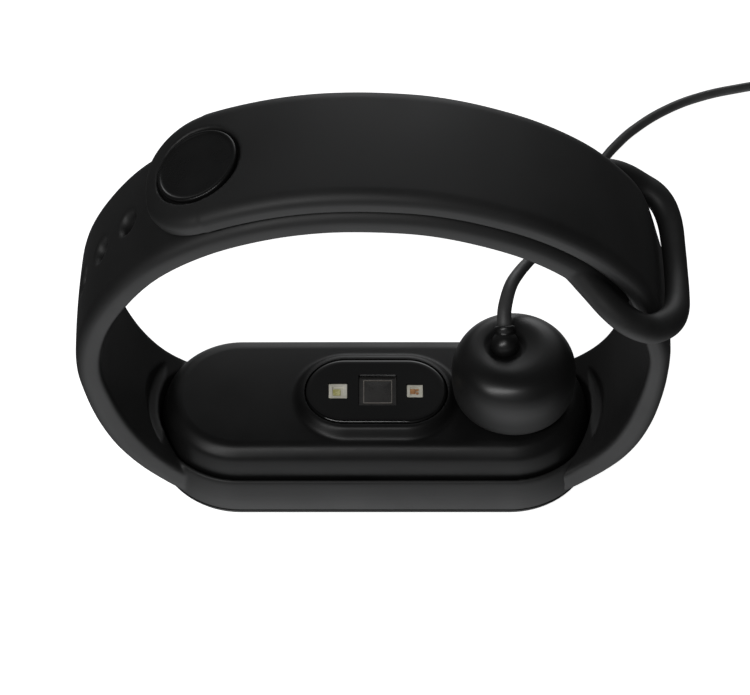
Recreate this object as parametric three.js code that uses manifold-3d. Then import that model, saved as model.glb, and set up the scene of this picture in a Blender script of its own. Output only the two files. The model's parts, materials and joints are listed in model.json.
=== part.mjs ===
// Fitness band standing on its display face, its wrist loop closed, a magnetic charger on its back.
// Millimetres. +X along the tracker, +Y across the band, +Z up; the origin is the middle of the glass face.
import * as THREE from "three";
import { mergeVertices } from "three/addons/utils/BufferGeometryUtils.js";
import Module from "manifold-3d";

const wasm = await Module();
wasm.setup();

// ---- driving dimensions ----
const GAP = 0.3;
const TRACKER = { length: 46.0, width: 17.9, backLength: 44.6, backWidth: 16.6, back: 11.2, top: 12.12 };
const FRONT = { glass: 1.1, frameLow: 1.35, frameTop: 2.6, caseLow: 2.85 };
const WALL = 1.2;
const BUMP = { y: -0.45, length: 15.9, width: 9.8, windowLength: 14.65, windowWidth: 8.2 };
const CRADLE = { length: 46.8, width: 18.8, low: 2.9, top: 8.0, openLength: 45.1, openWidth: 17.1 };
const ARM = { width: 14.1, flare: 0.8, root: 3.5, inner: 2.7, outer: 2.4, splitZ: 12.4 };
const HOLE = { radius: 1.05, pitch: 4.55, before: 4, after: 4 };
const STUD = { disc: 4.2, discHigh: 0.7, seat: 4.5, shaft: 0.6, head: 0.85 };
const KEEPER = { half: 9.1, root: 1.15, rail: 1.3, wide: 1.55, bar: 1.2 };
const PUCK = { x: 14.3, y: 0.1, radius: 6.4, low: 11.6, top: 18.45, wall: 1.0 };
const BALL = { x: 13.27, y: 0.85, z: 18.2, radius: 1.3 };
const PIN = { apart: 3.4, tip: 0.55, body: 0.95 };
const CORD = { d: 1.1, step: 2.6 };
const COIL = { x: 57.5, y: 63.3, radius: 6.3, wide: 3.4, high: 4.1 };
const PLUG = { x: 53.5, rearY: 44.3, body: [20, 15.5, 7.4], shell: [18.5, 12, 4.5], skin: 0.35 };

// Inner face of the hole arm in the XZ plane, from under the tracker's left end over the top to the right.
const HOLE_ARM_PATH = [
  [-18.0, 5.6], [-21.6, 8.9], [-23.45, 11.5], [-25.1, 14.95], [-26.4, 19.2], [-27.15, 23.8], [-26.3, 28.9],
  [-24.1, 33.5], [-20.65, 37.95], [-15.7, 41.45], [-10.1, 43.65], [-4.9, 44.65], [0.0, 44.75], [4.9, 44.25],
  [9.7, 42.85], [14.55, 40.6], [18.95, 37.25], [21.75, 33.55], [23.05, 31.1],
];
// Inner face of the stud arm from under the tracker's right end up to the keeper.
const STUD_ARM_RISE = [
  [18.0, 5.6], [21.9, 8.8], [23.95, 11.4], [25.35, 14.65], [26.25, 18.2], [26.85, 22.0], [27.0, 25.4],
  [26.05, 28.85],
];
// Cord from the charger over the back rim of the cradle and down to the table, then to the coil.
const LEAD_ROUTE = [
  [13.25, 2.1, 19.5], [13.2, 3.3, 20.3], [13.5, 4.9, 20.75], [14.0, 6.7, 20.7], [14.9, 8.9, 20.0],
  [16.0, 11.4, 18.7], [17.4, 14.9, 16.3], [19.2, 20.4, 11.9], [21.2, 26.0, 7.2], [22.9, 31.6, 3.2],
  [24.5, 37.0, 1.1], [26.4, 41.8, 0.6], [28.2, 44.4, 0.56], [30.2, 46.6, 0.56], [34.3, 49.8, 0.56],
  [38.4, 51.8, 0.56], [42.5, 53.0, 0.56], [47.0, 53.9, 0.56], [52.0, 54.35, 0.56], [57.2, 54.4, 0.56],
];
const TAIL_ROUTE = [
  [48.6, 62.5, 3.2], [48.7, 60.0, 2.85], [49.2, 57.2, 2.45], [50.1, 54.6, 2.3], [51.4, 52.2, 2.6],
  [52.7, 50.2, 3.2], [53.4, 48.4, 3.65], [53.5, 46.7, 3.7],
];

// ---- materials, one function per finish ----
const finish = (color, roughness, metalness) => new THREE.MeshStandardMaterial({ color, roughness, metalness });
const strapRubber = () => finish(0x1e1f22, 0.62, 0);
const caseResin = () => finish(0x232427, 0.5, 0);
const frontGlass = () => finish(0x090a0c, 0.08, 0);
const blackLens = () => finish(0x0b0c0e, 0.12, 0);
const circuitBoard = () => finish(0x16402a, 0.5, 0);
const chipPlastic = () => finish(0x18191b, 0.55, 0);
const goldMetal = () => finish(0xc9a24b, 0.3, 1);
const steelMetal = () => finish(0xa9adb2, 0.35, 1);
const cellFoil = () => finish(0x9aa0a6, 0.45, 0.6);
const ledResin = () => finish(0xe9e4cf, 0.4, 0);
const puckResin = () => finish(0x1b1c1e, 0.35, 0);
const cordJacket = () => finish(0x2b2c2f, 0.55, 0);
const plugWhite = () => finish(0xe8e8e6, 0.5, 0);

// ---- solids ----
const group = new THREE.Group();
group.name = "fitness_band_on_charger";

function add(name, geometry, material) {
  const mesh = new THREE.Mesh(geometry, material);
  mesh.name = name;
  group.add(mesh);
}

function toManifold(geometry) {
  const bare = geometry.clone();
  bare.deleteAttribute("normal");
  bare.deleteAttribute("uv");
  const welded = mergeVertices(bare, 1e-4);
  return new wasm.Manifold(new wasm.Mesh({
    numProp: 3,
    vertProperties: new Float32Array(welded.attributes.position.array),
    triVerts: new Uint32Array(welded.index.array),
  }));
}

function toGeometry(solid) {
  const mesh = solid.getMesh();
  const geometry = new THREE.BufferGeometry();
  geometry.setAttribute("position", new THREE.BufferAttribute(new Float32Array(mesh.vertProperties), 3));
  geometry.setIndex(new THREE.BufferAttribute(new Uint32Array(mesh.triVerts), 1));
  geometry.computeVertexNormals();
  return geometry;
}

function cut(geometry, ...tools) {
  return toGeometry(tools.reduce((body, tool) => body.subtract(toManifold(tool)), toManifold(geometry)));
}

// The union's outer shell: pockets closed in between two rounded faces are filled.
function join(geometry, ...others) {
  const solid = others.reduce((body, other) => body.add(toManifold(other)), toManifold(geometry));
  const shells = solid.decompose();
  return toGeometry(shells.reduce((most, shell) => (shell.volume() > most.volume() ? shell : most)));
}

function box(x0, x1, y0, y1, z0, z1) {
  const geometry = new THREE.BoxGeometry(x1 - x0, y1 - y0, z1 - z0);
  return geometry.translate((x0 + x1) / 2, (y0 + y1) / 2, (z0 + z1) / 2);
}

function cylinder(radius, x, y, z0, z1, sides = 20) {
  const geometry = new THREE.CylinderGeometry(radius, radius, z1 - z0, sides);
  return geometry.rotateX(Math.PI / 2).translate(x, y, (z0 + z1) / 2);
}

// Closed outline with round ends, drawn counter-clockwise.
function stadium(length, width, steps = 14) {
  const r = width / 2;
  const straight = length / 2 - r;
  const points = [];
  for (const side of [1, -1]) {
    for (let i = 0; i <= steps; i += 1) {
      const angle = side * Math.PI / 2 * -1 + Math.PI * i / steps;
      points.push(new THREE.Vector2(side * straight + r * Math.cos(angle), r * Math.sin(angle)));
    }
  }
  return new THREE.Shape(points);
}

function plate(shape, z0, z1, bevel = 0) {
  const geometry = new THREE.ExtrudeGeometry(shape, {
    depth: z1 - z0 - 2 * bevel,
    bevelEnabled: bevel > 0,
    bevelThickness: bevel,
    bevelSize: bevel,
    bevelOffset: -bevel,
    bevelSegments: 2,
    curveSegments: 4,
  });
  return geometry.translate(0, 0, z0 + bevel);
}

function roundedRect(x0, x1, y0, y1, r) {
  const shape = new THREE.Shape();
  shape.moveTo(x0 + r, y0);
  shape.lineTo(x1 - r, y0);
  shape.absarc(x1 - r, y0 + r, r, -Math.PI / 2, 0);
  shape.absarc(x1 - r, y1 - r, r, 0, Math.PI / 2);
  shape.absarc(x0 + r, y1 - r, r, Math.PI / 2, Math.PI);
  shape.absarc(x0 + r, y0 + r, r, Math.PI, Math.PI * 1.5);
  return shape;
}

// Closed surface through equal rings of points, with flat ends.
function loft(rings) {
  const count = rings[0].length;
  const positions = rings.flat().flatMap((p) => [p.x, p.y, p.z]);
  const index = [];
  for (let i = 0; i + 1 < rings.length; i += 1) {
    for (let j = 0; j < count; j += 1) {
      const a = i * count + j;
      const b = i * count + (j + 1) % count;
      index.push(a, b, a + count, b, b + count, a + count);
    }
  }
  const last = (rings.length - 1) * count;
  for (let j = 1; j + 1 < count; j += 1) {
    index.push(0, j + 1, j);
    index.push(last, last + j, last + j + 1);
  }
  const geometry = new THREE.BufferGeometry();
  geometry.setAttribute("position", new THREE.BufferAttribute(new Float32Array(positions), 3));
  geometry.setIndex(index);
  geometry.computeVertexNormals();
  return geometry;
}

function circle(radius, sides) {
  const shape = new THREE.Shape();
  for (let i = 0; i < sides; i += 1) {
    const angle = 2 * Math.PI * i / sides;
    const x = radius * Math.cos(angle);
    const y = radius * Math.sin(angle);
    if (i === 0) shape.moveTo(x, y);
    else shape.lineTo(x, y);
  }
  shape.closePath();
  return shape;
}

function tube(route, radius, sides, steps) {
  const path = new THREE.CatmullRomCurve3(route.map((p) => new THREE.Vector3(...p)), false, "centripetal");
  return new THREE.ExtrudeGeometry(circle(radius, sides), { steps, extrudePath: path });
}

function revolve(profile, sides = 28) {
  const points = profile.map(([r, z]) => new THREE.Vector2(r, z));
  return new THREE.LatheGeometry(points, sides).rotateX(Math.PI / 2);
}

// ---- strap ----
const holeArmCurve = curveXZ(HOLE_ARM_PATH);

function curveXZ(points) {
  return new THREE.CatmullRomCurve3(points.map(([x, z]) => new THREE.Vector3(x, 0, z)), false, "centripetal");
}

// Point on a curve with the direction pointing out of the wrist loop.
function station(curve, u, outward) {
  const p = curve.getPointAt(u);
  const t = curve.getTangentAt(u);
  const n = new THREE.Vector3(t.z, 0, -t.x).multiplyScalar(outward);
  return { p, t, n };
}

// Rounded cross-section of the band: across is along Y, up is away from the wrist.
function bandSection({ p, n }, width, thick) {
  const w = width / 2;
  const e = Math.min(0.9, w * 0.4);
  const outline = [
    [-w + e, 0], [w - e, 0], [w - 0.25, 0.3], [w, thick * 0.5], [w - 0.25, thick - 0.55],
    [w - e, thick - 0.12], [0, thick], [-w + e, thick - 0.12], [-w + 0.25, thick - 0.55], [-w, thick * 0.5],
    [-w + 0.25, 0.3],
  ];
  return outline.map(([y, h]) => new THREE.Vector3(p.x + n.x * h, y, p.z + n.z * h));
}

function bandArm(curve, outward, from, to, count, widthAt, thickAt) {
  const rings = [];
  for (let i = 0; i <= count; i += 1) {
    const u = from + (to - from) * i / count;
    rings.push(bandSection(station(curve, u, outward), widthAt(u), thickAt(u)));
  }
  return loft(outward < 0 ? rings : rings.map((ring) => [...ring].reverse()));
}

// Drill standing on the hole arm, along its outward direction.
function alongNormal(geometry, { p, n }, lift) {
  const turn = new THREE.Quaternion().setFromUnitVectors(new THREE.Vector3(0, 0, 1), n);
  return geometry.applyQuaternion(turn).translate(p.x + n.x * lift, p.y, p.z + n.z * lift);
}

// Places along the hole arm, as fractions of its length from the tracker end.
const STUD_AT = 0.505;
const CLASP_AT = 0.63;
const TIP_AT = 0.436;

const holeArmLength = holeArmCurve.getLength();
const overHoleArm = ARM.inner + GAP * 0.7;

function holeStation(u) {
  return station(holeArmCurve, u, -1);
}

// The stud arm rises on the right, then follows the outside of the hole arm.
function studArmCurve() {
  const points = [...STUD_ARM_RISE];
  for (let u = 0.985; u > TIP_AT - 0.02; u -= 0.035) {
    const { p, n } = holeStation(u);
    points.push([p.x + n.x * overHoleArm, p.z + n.z * overHoleArm]);
  }
  return curveXZ(points);
}

const outerCurve = studArmCurve();

// Fraction of the outer curve that lies nearest over a place on the hole arm.
function overPlace(u) {
  const { p, n } = holeStation(u);
  const goal = p.clone().addScaledVector(n, overHoleArm);
  let best = 0;
  for (let i = 0; i <= 600; i += 1) {
    const away = (place) => outerCurve.getPointAt(place).distanceTo(goal);
    if (away(i / 600) < away(best)) best = i / 600;
  }
  return best;
}

const above = (z) => box(-80, 80, -40, 40, z, 120);
const below = (z) => box(-80, 80, -40, 40, -40, z);

// Loop at the hole arm's end: it leaves both edges and passes round the outside of the stud arm.
function keeper() {
  const half = KEEPER.half;
  const side = (y, full) => [
    [17.3, y * 0.6, 39.8], [18.8, y * 0.65, 38.6], [20.2, y * 0.73, 37.4], [21.5, y * 0.81, 36.3],
    [22.8, y * 0.91, 35.3], [24.1, y * 0.98, 34.4], [25.4, y * (1 + 0.03 * full), 33.6],
    [26.6, y * (0.97 + 0.07 * full), 32.8], [28.0, y * (0.9 + 0.1 * full), 32.3],
    [28.95, y * (0.76 + 0.12 * full), 31.75], [29.55, y * (0.56 + 0.11 * full), 31.2],
    [29.8, y * (0.29 + 0.05 * full), 30.8],
  ];
  const route = [...side(-half, 0), [29.85, 0, 30.6], ...side(half, 1).reverse()];
  const path = new THREE.CatmullRomCurve3(route.map((p) => new THREE.Vector3(...p)), false, "centripetal");
  const up = new THREE.Vector3(0.54, 0, 0.84);
  const rings = [];
  const count = 40;
  for (let i = 0; i <= count; i += 1) {
    const p = path.getPointAt(i / count);
    const across = up.clone().cross(path.getTangentAt(i / count)).normalize();
    const toBar = Math.sin(Math.PI * i / count);
    const rail = KEEPER.root + (KEEPER.rail - KEEPER.root) * Math.min(1, 2.5 * toBar);
    const tall = rail + (KEEPER.bar - rail) * toBar ** 6;
    const broad = KEEPER.root + (KEEPER.wide - KEEPER.root) * THREE.MathUtils.smoothstep(toBar, 0.1, 0.45);
    const wide = broad + (KEEPER.bar - broad) * toBar ** 6;
    const ring = [];
    for (let k = 0; k < 10; k += 1) {
      const angle = 2 * Math.PI * k / 10;
      const around = p.clone().addScaledVector(across, wide * Math.cos(angle));
      ring.push(around.addScaledVector(up, tall * Math.sin(angle)));
    }
    rings.push(ring);
  }
  return loft(rings);
}

function strap() {
  const rootward = (u, from, to) => Math.min(1, Math.max(0, (to - u) / (to - from)));
  const thickA = (u) => ARM.inner + (ARM.root - ARM.inner) * rootward(u, 0.1, 0.24);
  const wide = (u) => ARM.width + ARM.flare * rootward(u, 0.02, 0.12) ** 2;
  const full = bandArm(holeArmCurve, -1, 0, 0.985, 30, wide, thickA);
  const thickB = (u) => ARM.outer + (ARM.root - ARM.outer) * rootward(u, 0.08, 0.26);
  const rise = bandArm(outerCurve, 1, 0, overPlace(CLASP_AT) - 0.0015, 30, wide, thickB);

  const capsule = plate(stadium(CRADLE.openLength, CRADLE.openWidth), -5, ARM.splitZ);
  const rim = plate(stadium(CRADLE.length, CRADLE.width), CRADLE.low, CRADLE.top, 0.9);
  const roots = [cut(full, above(ARM.splitZ - GAP / 2)), cut(rise, above(ARM.splitZ - GAP / 2))];
  add("strap_cradle", cut(join(rim, ...roots), capsule, below(CRADLE.low)), strapRubber());

  const holes = [];
  for (let k = -HOLE.before; k <= HOLE.after; k += 1) {
    const place = holeStation(STUD_AT - k * HOLE.pitch / holeArmLength);
    holes.push(alongNormal(cylinder(HOLE.radius, 0, 0, -2, 6, 12), place, 0));
  }
  const upper = cut(full, below(ARM.splitZ + GAP / 2), ...holes);
  add("strap_hole_arm", join(upper, keeper()), strapRubber());
  add("strap_stud_arm", cut(rise, below(ARM.splitZ + GAP / 2)), strapRubber());

  const tipEnd = overPlace(TIP_AT);
  const tipStart = overPlace(CLASP_AT) + 0.0015;
  const half = ARM.width / 2;
  const tipWidth = (u) => {
    const left = Math.max(0, (tipEnd - u) * outerCurve.getLength());
    const inward = 1 - Math.min(half, left) / half;
    return 2 * Math.min(half, half * Math.sqrt(Math.max(0.02, 1 - inward ** 2)));
  };
  const tip = bandArm(outerCurve, 1, tipStart, tipEnd, 22, tipWidth, () => ARM.outer);
  const studPlace = holeStation(STUD_AT);
  const top = overHoleArm + ARM.outer;
  const seat = alongNormal(cylinder(STUD.seat, 0, 0, -STUD.discHigh - 0.25, 3, 28), studPlace, top);
  const bore = alongNormal(cylinder(STUD.shaft + GAP, 0, 0, -5, 3, 14), studPlace, top);
  add("strap_clasp_tip", cut(tip, seat, bore), strapRubber());

  const rivet = revolve([
    [0, -top + 0.5], [STUD.head * 0.6, -top + 0.5], [STUD.head, -top + 0.9], [STUD.head, -top + 1.3],
    [STUD.shaft, -top + 1.7], [STUD.shaft, -STUD.discHigh], [STUD.disc - 0.25, -STUD.discHigh + 0.05],
    [STUD.disc, -STUD.discHigh + 0.3], [STUD.disc - 0.3, -0.1], [0, 0.05],
  ], 26);
  add("clasp_stud", alongNormal(rivet, studPlace, top), puckResin());
}

// ---- tracker ----
// Rear case: a cup open to the display side, its edge rounded into the back.
function rearCase() {
  const { backLength, backWidth, back } = TRACKER;
  const ring = (inset, z) => stadium(backLength - 2 * inset, backWidth - 2 * inset, 12).getPoints()
    .map((p) => new THREE.Vector3(p.x, p.y, z));
  const edge = [[0, FRONT.caseLow], [0, 8.3], [0.25, 9.4], [0.85, 10.4], [1.7, 11.0], [2.7, back]];
  const outer = loft(edge.map(([inset, z]) => ring(inset, z)));
  const room = plate(stadium(backLength - 2 * WALL, backWidth - 2 * WALL), 0, 9.0);
  const upperRoom = plate(stadium(backLength - 7, backWidth - 7), 8.5, back - WALL);
  const skirt = [[0, back - 0.4], [0, back + 0.1], [0.35, back + 0.75], [0.55, TRACKER.top - 0.12]];
  const bumpRing = ([inset, z]) => stadium(BUMP.length - 2 * inset, BUMP.width - 2 * inset, 12).getPoints()
    .map((p) => new THREE.Vector3(p.x, p.y, z));
  const bump = loft(skirt.map(bumpRing)).translate(0, BUMP.y, 0);
  const opening = plate(stadium(BUMP.windowLength + 0.2, BUMP.windowWidth + 0.2), 5, 14).translate(0, BUMP.y, 0);
  const pads = [-1, 1].map((side) => cylinder(1.1, PUCK.x + side * PIN.apart / 2, PUCK.y, 5, 14, 18));
  add("rear_case", cut(join(outer, bump), room, upperRoom, opening, ...pads), caseResin());
}

function tracker() {
  const pill = (inset, z) => stadium(TRACKER.length - 2 * inset, TRACKER.width - 2 * inset, 12).getPoints()
    .map((p) => new THREE.Vector3(p.x, p.y, z));
  const lensEdge = [[1.7, 0], [1.45, 0.12], [1.1, 0.55], [0.75, FRONT.glass]];
  add("front_glass", loft(lensEdge.map(([inset, z]) => pill(inset, z))), frontGlass());
  const frameEdge = [[0.6, FRONT.frameLow], [0, 2.2], [0.05, FRONT.frameTop]];
  const frame = loft(frameEdge.map(([inset, z]) => pill(inset, z)));
  const inside = plate(stadium(TRACKER.length - 4.6, TRACKER.width - 4.0), 0, 9);
  add("front_frame", cut(frame, inside), caseResin());
  add("display_panel", plate(roundedRect(-15.4, 15.4, -6.2, 6.2, 1.6), FRONT.frameLow, 2.1), frontGlass());
  const seal = plate(stadium(40.4, 13.2), FRONT.frameLow + 0.2, FRONT.frameTop - 0.1);
  add("case_seal", cut(seal, plate(roundedRect(-15.8, 15.8, -6.45, 6.45, 1.8), 0, 9)), strapRubber());
  rearCase();

  add("main_board", plate(stadium(40.5, 12.6), 3.1, 3.8), circuitBoard());
  add("battery_cell", plate(roundedRect(-18.2, -2.2, -5.6, 5.6, 1.2), 4.1, 8.0, 0.4), cellFoil());
  add("processor_chip", box(0.2, 5.2, -2.6, 2.6, 4.0, 4.9), chipPlastic());
  add("radio_chip", box(6.6, 10.0, -4.6, -1.4, 4.0, 4.8), chipPlastic());
  add("motion_sensor", box(6.8, 9.2, 1.4, 3.8, 4.0, 4.8), chipPlastic());
  const motor = cylinder(4.0, 15.6, 0, 4.1, 6.8, 26);
  add("vibration_motor", motor, steelMetal());

  const windowTop = loft([[0, 11.2], [0, TRACKER.top - 0.25], [0.25, TRACKER.top]].map(([inset, z]) =>
    stadium(BUMP.windowLength - 2 * inset, BUMP.windowWidth - 2 * inset, 12).getPoints()
      .map((p) => new THREE.Vector3(p.x, p.y, z))));
  add("sensor_window", windowTop.translate(0, BUMP.y, 0), blackLens());
  const underWindow = (geometry) => geometry.translate(0, BUMP.y, 0);
  add("sensor_board", underWindow(plate(roundedRect(-6.4, 6.4, -3.0, 3.0, 1), 8.6, 9.2)), circuitBoard());
  add("photodiode", underWindow(box(-1.5, 1.5, -1.3, 1.3, 9.4, 10.2)), chipPlastic());
  add("sensor_led_left", underWindow(box(-4.6, -3.0, -0.8, 0.8, 9.4, 10.1)), ledResin());
  add("sensor_led_right", underWindow(box(3.0, 4.6, -0.8, 0.8, 9.4, 10.1)), ledResin());
  const padLow = TRACKER.back - WALL + 0.1;
  for (const side of [-1, 1]) {
    const name = side < 0 ? "left" : "right";
    const padX = PUCK.x + side * PIN.apart / 2;
    add(`charge_pad_${name}`, cylinder(0.95, padX, PUCK.y, padLow, 11.05, 18), goldMetal());
    const y = side * 3.6;
    add(`keeper_plate_${name}`, box(PUCK.x - 2.0, PUCK.x + 0.6, y - 0.7, y + 0.7, 8.95, 9.75), steelMetal());
  }
}

// ---- charger ----
function charger() {
  const { x, y, radius, low, top, wall } = PUCK;
  const at = (geometry) => geometry.translate(x, y, 0);
  const outer = revolve([
    [0, low + 0.1], [radius - 0.45, low + 0.1], [radius - 0.2, low + 0.6], [radius - 0.05, low + 1.6],
    [radius, low + 2.8], [radius - 0.05, low + 3.8], [radius - 0.3, low + 4.8], [radius - 0.8, low + 5.7],
    [radius - 1.6, low + 6.3], [radius - 2.8, top - 0.1], [0, top],
  ], 32);
  const room = cylinder(radius - wall, 0, 0, low - 1, low + 4.2, 24);
  const dish = new THREE.SphereGeometry(1.95, 18, 12).translate(BALL.x - x, BALL.y - y, BALL.z + 0.35);
  add("puck_shell", at(cut(outer, room, dish)), puckResin());
  const floorWide = radius - wall - GAP;
  const base = revolve([
    [0, low], [floorWide - 0.3, low], [floorWide, low + 0.3], [floorWide, low + 0.7], [0, low + 0.7],
  ], 32);
  const pinHoles = [-1, 1].map((side) => cylinder(PIN.tip + 0.15, side * PIN.apart / 2, 0, 0, 20, 14));
  add("puck_base", at(cut(base, ...pinHoles)), puckResin());
  for (const side of [-1, 1]) {
    const name = side < 0 ? "left" : "right";
    const px = side * PIN.apart / 2;
    const pin = revolve([
      [0, low - 0.25], [PIN.tip * 0.6, low - 0.2], [PIN.tip, low + 0.1], [PIN.tip, low + 0.85],
      [PIN.body, low + 0.85], [PIN.body, low + 1.15], [0, low + 1.15],
    ], 16).translate(px, 0, 0);
    add(`pogo_pin_${name}`, at(pin), goldMetal());
    const coil = [];
    for (let i = 0; i <= 32; i += 1) {
      const angle = 2 * Math.PI * i / 8;
      coil.push([px + 0.62 * Math.cos(angle), 0.62 * Math.sin(angle), low + 1.38 + 1.0 * i / 32]);
    }
    add(`pin_spring_${name}`, at(tube(coil, 0.1, 5, 40)), steelMetal());
    const magnet = cylinder(1.35, 0, side * 3.6, low + 0.9, low + 2.7, 20);
    add(`puck_magnet_${name}`, at(magnet), steelMetal());
  }
  add("puck_board", at(cylinder(2.3, 0, 0, low + 2.55, low + 2.8, 20)), circuitBoard());

  const neck = tube([[BALL.x, BALL.y - 0.05, BALL.z - 0.05], [BALL.x, 1.35, 18.75], [13.25, 1.9, 19.3]], 0.98, 12, 3);
  const ball = new THREE.SphereGeometry(BALL.radius, 18, 12).translate(BALL.x, BALL.y, BALL.z);
  add("cord_boss", join(ball, neck), puckResin());
}

// ---- cord, coil and plug ----
function cord() {
  const steps = (route) => {
    const path = new THREE.CatmullRomCurve3(route.map((p) => new THREE.Vector3(...p)), false, "centripetal");
    return Math.ceil(path.getLength() / CORD.step);
  };
  add("cord_lead", tube(LEAD_ROUTE, CORD.d / 2, 8, steps(LEAD_ROUTE)), cordJacket());
  add("cord_tail", tube(TAIL_ROUTE, CORD.d / 2, 8, steps(TAIL_ROUTE)), cordJacket());
  const inner = COIL.radius - COIL.wide / 2;
  const outer = COIL.radius + COIL.wide / 2;
  const ring = revolve([
    [inner, 0.4], [inner + 0.4, 0], [outer - 0.4, 0], [outer, 0.4], [outer, COIL.high - 0.4],
    [outer - 0.4, COIL.high], [inner + 0.4, COIL.high], [inner, COIL.high - 0.4], [inner, 0.4],
  ], 32);
  add("cord_coil", ring.translate(COIL.x, COIL.y, 0), cordJacket());
  const tieOuter = box(-COIL.wide / 2 - 0.9, COIL.wide / 2 + 0.9, -1.3, 1.3, 0, COIL.high + 0.9);
  const tieInner = box(-COIL.wide / 2 - 0.3, COIL.wide / 2 + 0.3, -2, 2, -1, COIL.high + 0.3);
  const tie = cut(tieOuter, tieInner).rotateZ(Math.PI / 2);
  add("coil_tie", tie.translate(COIL.x, COIL.y + COIL.radius, 0), strapRubber());
}

// Built along +X from the cord's side, then turned to point towards -Y.
function plug() {
  const [bodyLong, bodyWide, bodyHigh] = PLUG.body;
  const [shellLong, shellWide, shellHigh] = PLUG.shell;
  const lay = (geometry) => geometry.rotateZ(-Math.PI / 2).translate(PLUG.x, PLUG.rearY, bodyHigh / 2);
  const section = roundedRect(-bodyWide / 2, bodyWide / 2, -bodyHigh / 2, bodyHigh / 2, 0.9);
  const slab = plate(section, 0, bodyLong, 0.5);
  const backward = (geometry, x1) => geometry.rotateY(-Math.PI / 2).translate(x1, 0, 0);
  const relief = backward(cylinder(1.5, 0, 0, 0, 4.2, 16), 0.2);
  const bore = backward(cylinder(CORD.d / 2 + GAP, 0, 0, 0, 3.8, 12), -0.7);
  const body = join(slab.rotateX(Math.PI / 2).rotateZ(Math.PI / 2), relief);
  add("plug_body", lay(cut(body, bore)), cordJacket());
  const x0 = bodyLong + GAP;
  const x1 = x0 + shellLong - 6;
  const skin = PLUG.skin;
  const outer = box(x0, x1, -shellWide / 2, shellWide / 2, -shellHigh / 2, shellHigh / 2);
  const [halfWide, halfHigh] = [shellWide / 2 - skin, shellHigh / 2 - skin];
  const room = box(x0 + 0.5, x1 + 1, -halfWide, halfWide, -halfHigh, halfHigh);
  const windows = [-1, 1].map((s) => box(x0 + 5, x0 + 7.2, s * 3 - 1.1, s * 3 + 1.1, 0, 4));
  add("plug_shell", lay(cut(outer, room, ...windows)), steelMetal());
  const tongue = box(x0 + 0.8, x1 - 0.4, -shellWide / 2 + 0.65, shellWide / 2 - 0.65, -1.6, 0.1);
  add("plug_tongue", lay(tongue), plugWhite());
  for (let i = 0; i < 4; i += 1) {
    const y = (i - 1.5) * 2.3;
    const strip = box(x0 + 2, x1 - 1, y - 0.5, y + 0.5, 0.25, 0.45);
    add(`plug_contact_${i + 1}`, lay(strip), goldMetal());
  }
}

strap();
tracker();
charger();
cord();
plug();

export default group;
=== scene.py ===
"""Looks for a fitness band that stands on its display with a round charger on its back.

Shapes are in millimetres until solid() and curve_piece() turn them into metres.
"""

import json
import math

import bmesh
import bpy
from mathutils import Matrix, Vector


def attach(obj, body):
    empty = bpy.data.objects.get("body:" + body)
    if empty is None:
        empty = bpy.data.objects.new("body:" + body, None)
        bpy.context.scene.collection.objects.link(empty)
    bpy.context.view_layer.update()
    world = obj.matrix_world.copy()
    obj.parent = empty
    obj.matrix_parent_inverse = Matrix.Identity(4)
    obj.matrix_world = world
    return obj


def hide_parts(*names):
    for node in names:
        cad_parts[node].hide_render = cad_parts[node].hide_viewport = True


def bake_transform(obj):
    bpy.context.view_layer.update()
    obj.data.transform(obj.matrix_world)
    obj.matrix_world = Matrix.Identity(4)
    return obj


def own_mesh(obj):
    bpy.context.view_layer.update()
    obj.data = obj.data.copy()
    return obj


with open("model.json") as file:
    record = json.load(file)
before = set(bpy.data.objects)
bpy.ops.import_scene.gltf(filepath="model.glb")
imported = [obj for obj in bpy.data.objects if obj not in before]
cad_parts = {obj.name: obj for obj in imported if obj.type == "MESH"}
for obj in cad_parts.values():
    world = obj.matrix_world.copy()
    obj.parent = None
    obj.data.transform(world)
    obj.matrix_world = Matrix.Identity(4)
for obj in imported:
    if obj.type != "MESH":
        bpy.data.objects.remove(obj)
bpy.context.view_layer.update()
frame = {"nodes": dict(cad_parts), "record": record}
MM = 0.001
SCENE = bpy.context.scene

# ---- sizes shared with the CAD ----
TRACKER = {"length": 46.0, "width": 17.9, "back_length": 44.6, "back_width": 16.6, "back": 11.2, "top": 12.12}
BUMP = {"x": 0.12, "y": -0.45, "length": 15.9, "width": 9.8, "window_length": 14.65, "window_width": 8.2}
CRADLE = {"length": 46.8, "width": 18.8, "low": 2.9, "open_length": 45.1, "open_width": 17.1}
ARM = {"width": 14.1, "flare": 0.8, "root": 3.5, "inner": 2.7, "outer": 2.4}
# How far the stud arm's inner face lies outside the hole arm's inner face.
OVER = ARM["inner"] + 0.21
# Places on the hole arm, as fractions of its length from the tracker end.
STUD_AT, TIP_AT, OVER_FROM, HOLE_ARM_END = 0.505, 0.436, 0.97, 0.985
HOLE = {"radius": 1.05, "pitch": 4.55, "each_side": 4}
KEEPER = {"half": 9.1, "root": 1.15, "rail": 1.3, "wide": 1.6, "bar": 1.2}
STUD = {"disc": 4.2, "seat": 4.45, "shaft": 0.6, "head": 0.85}
PUCK = {"x": 14.3, "y": 0.1, "radius": 6.4, "low": 11.6, "top": 18.45}
BALL = {"x": 13.27, "y": 0.85, "z": 18.2, "radius": 1.45}
CORD = {"d": 1.1, "length": 500.0}
COIL = {"x": 57.5, "y": 63.3, "high": 4.1}
CHARGE_PAD = {"apart": 3.4, "radius": 1.1}
PLUG = {"x": 53.5, "rear": 44.3, "long": 20.0, "z": 3.7, "wide": 15.5, "high": 7.4}

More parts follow.
